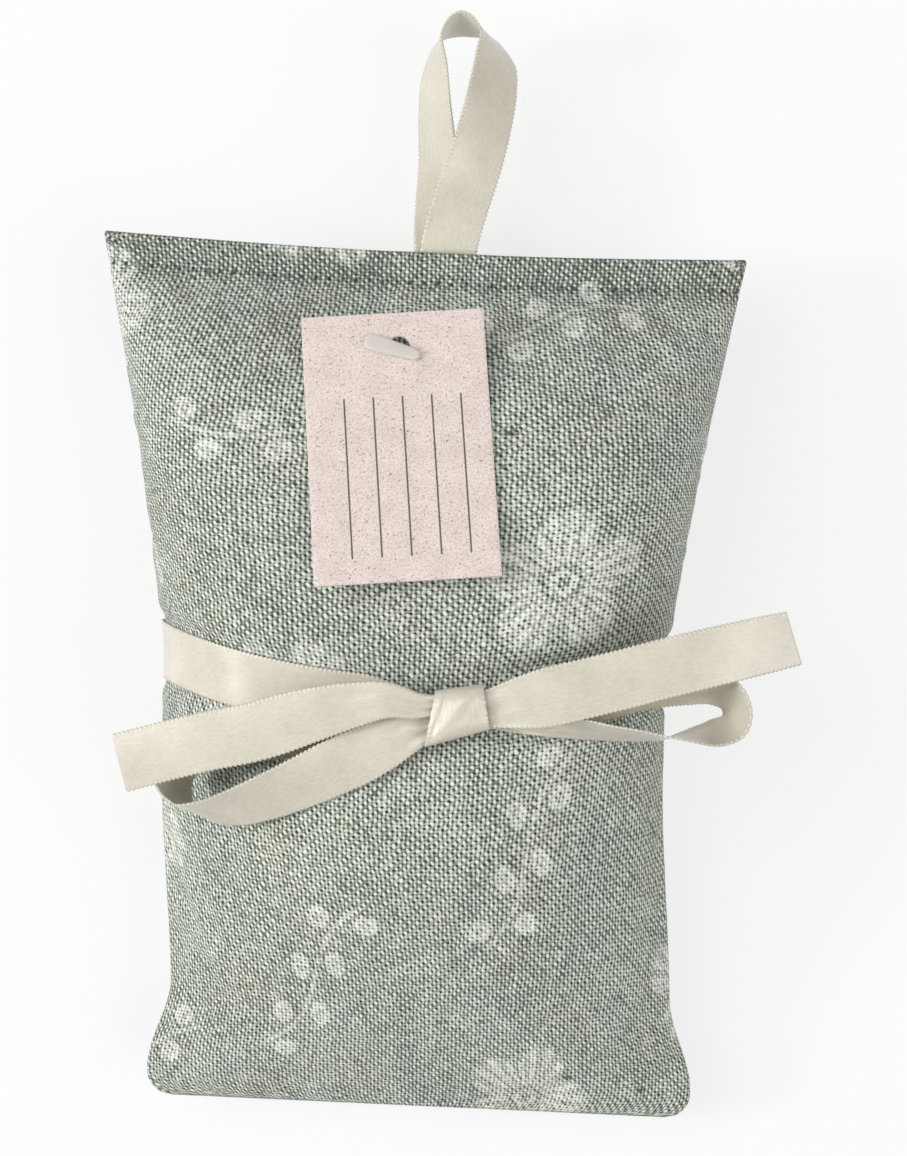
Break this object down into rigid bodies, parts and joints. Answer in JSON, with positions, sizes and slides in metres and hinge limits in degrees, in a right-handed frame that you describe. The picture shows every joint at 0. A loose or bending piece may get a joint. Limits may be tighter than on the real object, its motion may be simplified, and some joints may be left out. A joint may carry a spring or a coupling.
{
  "type": "lavender sachet",
  "caption": "Puffed linen drawer sachet of lavender buds with a stitched hem, a satin ribbon band tied in a bow, a ribbon hanging loop and a blank swing tag held by a plastic pin.",
  "frame": {"origin": "on the plane that the sachet rests on, under the middle of the ribbon's back stretch", "axes": "+X to the right seen from the front, +Y to the stitched hem and its hanging loop, +Z out of the front, away from the surface it lies on"},
  "size_m": [0.1239, 0.1974, 0.0508],
  "materials": {
    "linen": "slubby plain-weave linen, sage grey with a faint off-white print",
    "buds": "dried lavender buds",
    "thread": "pale sewing thread",
    "satin": "cream satin ribbon with picot edges",
    "card": "uncoated recycled card with fibre flecks",
    "nylon": "translucent white nylon"
  },
  "bodies": {
    "bag": {"front_panel": "linen", "back_panel": "linen", "lavender_filling": "buds", "side_seam_thread_left": "thread", "side_seam_thread_right": "thread", "foot_seam_thread": "thread", "closing_stitch_front": "thread", "closing_stitch_back": "thread", "loop_end_front": "satin", "loop_end_back": "satin", "ribbon_band": "satin", "bow_knot": "satin", "tag_pin_bar": "nylon"},
    "loop": {"hanging_loop": "satin"},
    "tag_pin": {"tag_pin_head": "nylon"},
    "tag": {"swing_tag": "card"},
    "left_loop": {"bow_loop_left": "satin"},
    "left_tail": {"bow_tail_left": "satin"},
    "right_loop": {"bow_loop_right": "satin"},
    "right_tail": {"bow_tail_right": "satin"}
  },
  "joints": [
    {"name": "loop_swing", "type": "hinge", "parent": "bag", "child": "loop", "pos_m": [0.0036, 0.07363, 0.02], "axis": [1, 0, 0], "range_deg": [-90, 90]},
    {"name": "tag_lift", "type": "hinge", "parent": "bag", "child": "tag_pin", "pos_m": [-0.0038, 0.05345, 0.03516], "axis": [-1, 0, 0], "range_deg": [0, 35]},
    {"name": "tag_turn", "type": "hinge", "parent": "tag_pin", "child": "tag", "pos_m": [-0.0038, 0.05426, 0.0378], "axis": [0, 0.2924, 0.9563], "range_deg": [-55, 55]},
    {"name": "left_loop_lift", "type": "hinge", "parent": "bag", "child": "left_loop", "pos_m": [0.0029, -0.0095, 0.04763], "axis": [0, 1, 0], "range_deg": [0, 25]},
    {"name": "left_tail_lift", "type": "hinge", "parent": "left_loop", "child": "left_tail", "pos_m": [0.0029, -0.0068, 0.04823], "axis": [0, 1, 0], "range_deg": [0, 40]},
    {"name": "right_loop_lift", "type": "hinge", "parent": "bag", "child": "right_loop", "pos_m": [0.0129, -0.008, 0.04763], "axis": [0, -1, 0], "range_deg": [0, 25]},
    {"name": "right_tail_lift", "type": "hinge", "parent": "right_loop", "child": "right_tail", "pos_m": [0.0129, -0.006, 0.04823], "axis": [0, -1, 0], "range_deg": [0, 40]}
  ]
}
